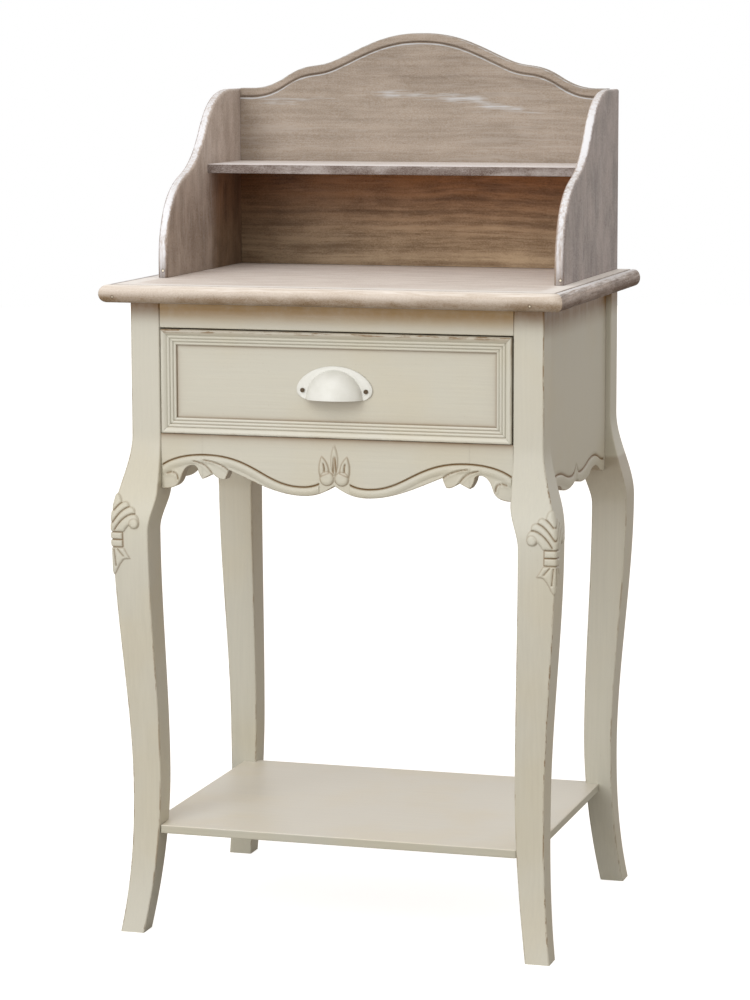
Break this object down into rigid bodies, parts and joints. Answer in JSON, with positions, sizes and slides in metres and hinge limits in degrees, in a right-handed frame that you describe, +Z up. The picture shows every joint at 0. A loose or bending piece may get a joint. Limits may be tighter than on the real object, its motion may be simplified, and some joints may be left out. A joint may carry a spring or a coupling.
{
  "type": "dressing table",
  "caption": "Small dressing table on cabriole legs, with a moulded drawer front, cup pull, carved apron, low shelf and an arched gallery with its own shelf on the top.",
  "frame": {"origin": "centre of the bounding box on the floor", "axes": "+X to the table's right as seen from the front, +Y towards its back, +Z up"},
  "size_m": [0.55, 0.429, 1.0558],
  "materials": {
    "cream_paint": "matt cream paint over a brown stain, rubbed through at edges and left brown in the grooves",
    "limed_wood": "limed and whitewashed brown wood with the grain showing, edges rubbed pale",
    "bare_wood": "plain unfinished softwood inside the case and drawer",
    "cream_enamel": "satin cream enamel on cast metal",
    "dark_steel": "darkened steel screws"
  },
  "bodies": {
    "case": {"leg_front_left": "cream_paint", "leg_front_right": "cream_paint", "leg_rear_left": "cream_paint", "leg_rear_right": "cream_paint", "front_top_rail": "cream_paint", "front_apron": "cream_paint", "side_panel_left": "cream_paint", "side_panel_right": "cream_paint", "rear_panel": "cream_paint", "drawer_runner_left": "bare_wood", "drawer_kicker_left": "bare_wood", "drawer_stop_left": "bare_wood", "drawer_runner_right": "bare_wood", "drawer_kicker_right": "bare_wood", "drawer_stop_right": "bare_wood", "corner_block_front_left": "bare_wood", "top_screw_front_left": "dark_steel", "corner_block_rear_left": "bare_wood", "top_screw_rear_left": "dark_steel", "corner_block_front_right": "bare_wood", "top_screw_front_right": "dark_steel", "corner_block_rear_right": "bare_wood", "top_screw_rear_right": "dark_steel", "table_top": "limed_wood", "top_edge_front": "limed_wood", "top_edge_left": "limed_wood", "top_edge_right": "limed_wood", "lower_shelf": "cream_paint", "gallery_side_left": "limed_wood", "gallery_side_right": "limed_wood", "gallery_shelf": "limed_wood", "gallery_back": "limed_wood", "gallery_screw_front_left": "dark_steel", "gallery_screw_rear_left": "dark_steel", "gallery_screw_front_right": "dark_steel", "gallery_screw_rear_right": "dark_steel"},
    "drawer": {"drawer_front_panel": "cream_paint", "drawer_moulding_top": "cream_paint", "drawer_moulding_bottom": "cream_paint", "drawer_moulding_left": "cream_paint", "drawer_moulding_right": "cream_paint", "drawer_side_left": "bare_wood", "drawer_side_right": "bare_wood", "drawer_back": "bare_wood", "drawer_bottom": "bare_wood", "cup_pull": "cream_enamel", "pull_screw_left": "dark_steel", "pull_screw_right": "dark_steel"}
  },
  "joints": [
    {"name": "drawer_slide", "type": "slide", "parent": "case", "child": "drawer", "axis": [0, -1, 0], "range_m": [0, 0.24]}
  ]
}
